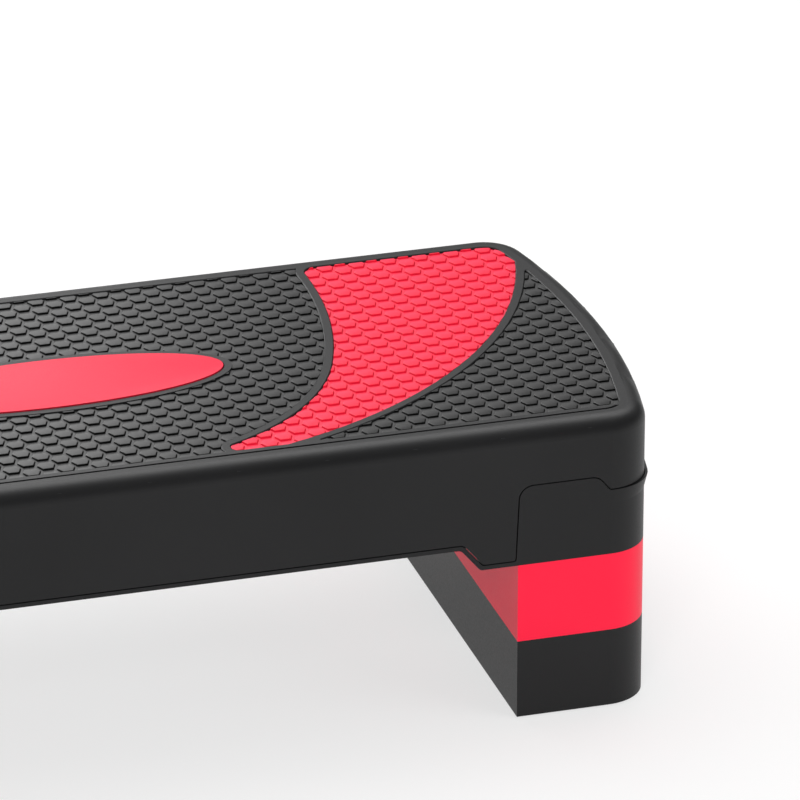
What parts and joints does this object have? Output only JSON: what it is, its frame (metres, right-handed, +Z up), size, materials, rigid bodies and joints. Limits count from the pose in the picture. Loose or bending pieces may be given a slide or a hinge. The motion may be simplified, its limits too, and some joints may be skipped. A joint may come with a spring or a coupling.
{
  "type": "aerobic step platform",
  "caption": "Aerobic step platform: long hollow deck with textured treads and a skirt, standing on stacked lift-off risers that set its height at each end.",
  "frame": {"origin": "on the floor, under the middle of the deck", "axes": "+X along the deck's length to the right, +Y from the front long side to the back, +Z up"},
  "size_m": [0.7546, 0.306, 0.204],
  "materials": {
    "black_plastic": "satin moulded",
    "red_plastic": "smooth moulded",
    "black_tread": "hexagon texture",
    "red_tread": "hexagon texture",
    "red_inlay": "plain, satin",
    "screw_steel": "zinc plated",
    "pad_rubber": "matte"
  },
  "bodies": {
    "lower_right": {"lower_riser_right": "black_plastic", "lower_pads_right": "pad_rubber"},
    "upper_right": {"upper_riser_right": "red_plastic", "upper_pads_right": "pad_rubber"},
    "deck": {"deck_shell": "black_plastic", "base_frame": "black_plastic", "tread_center": "black_tread", "tread_end_right": "black_tread", "tread_end_left": "black_tread", "tread_crescent_right": "red_tread", "tread_crescent_left": "red_tread", "oval_inlay": "red_inlay", "rail_screws": "screw_steel", "end_screws": "screw_steel", "frame_pads_right": "pad_rubber", "frame_pads_left": "pad_rubber"},
    "upper_left": {"upper_riser_left": "red_plastic", "upper_pads_left": "pad_rubber"},
    "lower_left": {"lower_riser_left": "black_plastic", "lower_pads_left": "pad_rubber"}
  },
  "joints": [
    {"name": "upper_lift", "type": "slide", "parent": "lower_right", "child": "upper_right", "axis": [0, 0, 1], "range_m": [0, 0.06]},
    {"name": "deck_lift", "type": "slide", "parent": "upper_right", "child": "deck", "axis": [0, 0, 1], "range_m": [0, 0.06]},
    {"name": "deck_lift_left", "type": "slide", "parent": "deck", "child": "upper_left", "axis": [0, 0, -1], "range_m": [0, 0.06]},
    {"name": "upper_lift_left", "type": "slide", "parent": "upper_left", "child": "lower_left", "axis": [0, 0, -1], "range_m": [0, 0.06]}
  ],
  "couplings": [
    {"joint": "deck_lift_left", "follows": "deck_lift", "ratio": 1},
    {"joint": "upper_lift_left", "follows": "upper_lift", "ratio": 1}
  ]
}
